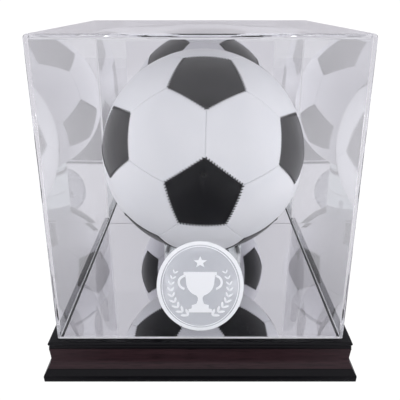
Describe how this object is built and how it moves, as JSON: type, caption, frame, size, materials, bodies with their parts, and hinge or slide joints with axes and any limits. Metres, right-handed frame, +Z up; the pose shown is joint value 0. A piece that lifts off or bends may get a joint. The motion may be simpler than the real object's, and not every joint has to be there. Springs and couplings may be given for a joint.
{
  "type": "football display case",
  "caption": "Square clear case with a mirrored back and floor on a moulded dark wooden base, showing a black and white football on a clear ring.",
  "frame": {"origin": "on the ground, under the middle of the base", "axes": "+Z up; -Y towards the front wall with the emblem; +X to the viewer's right"},
  "size_m": [0.3026, 0.3026, 0.3213],
  "materials": {
    "black_lacquer": "satin black lacquer over fine-grained board",
    "mahogany": "dark red-brown mahogany stain under satin lacquer",
    "pine": "raw sawn softwood",
    "hardboard": "pressed brown hardboard",
    "felt": "dense black felt",
    "mirror": "silvered acrylic sheet",
    "clear_acrylic": "polished clear moulded acrylic",
    "foam_tape": "white foam tape",
    "frosted_film": "frosted, with a plain cup and leaves",
    "latex": "natural latex",
    "valve_rubber": "smooth black rubber",
    "black_leather": "coated leather, satin black, fine grain",
    "white_leather": "coated leather, satin white, fine grain"
  },
  "bodies": {
    "base": {"deck_board": "black_lacquer", "cove_rail_front": "mahogany", "cove_rail_right": "mahogany", "cove_rail_back": "mahogany", "cove_rail_left": "mahogany", "foot_rail_front": "black_lacquer", "foot_rail_right": "black_lacquer", "foot_rail_back": "black_lacquer", "foot_rail_left": "black_lacquer", "corner_block_front_left": "pine", "corner_block_front_right": "pine", "corner_block_back_right": "pine", "corner_block_back_left": "pine", "bottom_panel": "hardboard", "foot_pad_front_left": "felt", "foot_pad_front_right": "felt", "foot_pad_back_right": "felt", "foot_pad_back_left": "felt", "floor_mirror": "mirror", "ball_ring": "clear_acrylic"},
    "cover": {"cover": "mahogany", "back_mirror": "mirror", "mirror_tape_left": "foam_tape", "mirror_tape_right": "foam_tape", "emblem": "frosted_film"},
    "ball": {"ball_bladder": "latex", "ball_valve": "valve_rubber", "pentagon_01": "black_leather", "pentagon_02": "black_leather", "pentagon_03": "black_leather", "pentagon_04": "black_leather", "pentagon_05": "black_leather", "pentagon_06": "black_leather", "pentagon_07": "black_leather", "pentagon_08": "black_leather", "pentagon_09": "black_leather", "pentagon_10": "black_leather", "pentagon_11": "black_leather", "pentagon_12": "black_leather", "hexagon_01": "white_leather", "hexagon_02": "white_leather", "hexagon_03": "white_leather", "hexagon_04": "white_leather", "hexagon_05": "white_leather", "hexagon_06": "white_leather", "hexagon_07": "white_leather", "hexagon_08": "white_leather", "hexagon_09": "white_leather", "hexagon_10": "white_leather", "hexagon_11": "white_leather", "hexagon_12": "white_leather", "hexagon_13": "white_leather", "hexagon_14": "white_leather", "hexagon_15": "white_leather", "hexagon_16": "white_leather", "hexagon_17": "white_leather", "hexagon_18": "white_leather", "hexagon_19": "white_leather", "hexagon_20": "white_leather"}
  },
  "joints": [
    {"name": "cover_lift", "type": "slide", "parent": "base", "child": "cover", "axis": [0, 0, 1], "range_m": [0, 0.3]},
    {"name": "ball_turn", "type": "hinge", "parent": "base", "child": "ball", "pos_m": [0.003, 0, 0.1887], "axis": [0, 0, 1], "continuous": true}
  ]
}
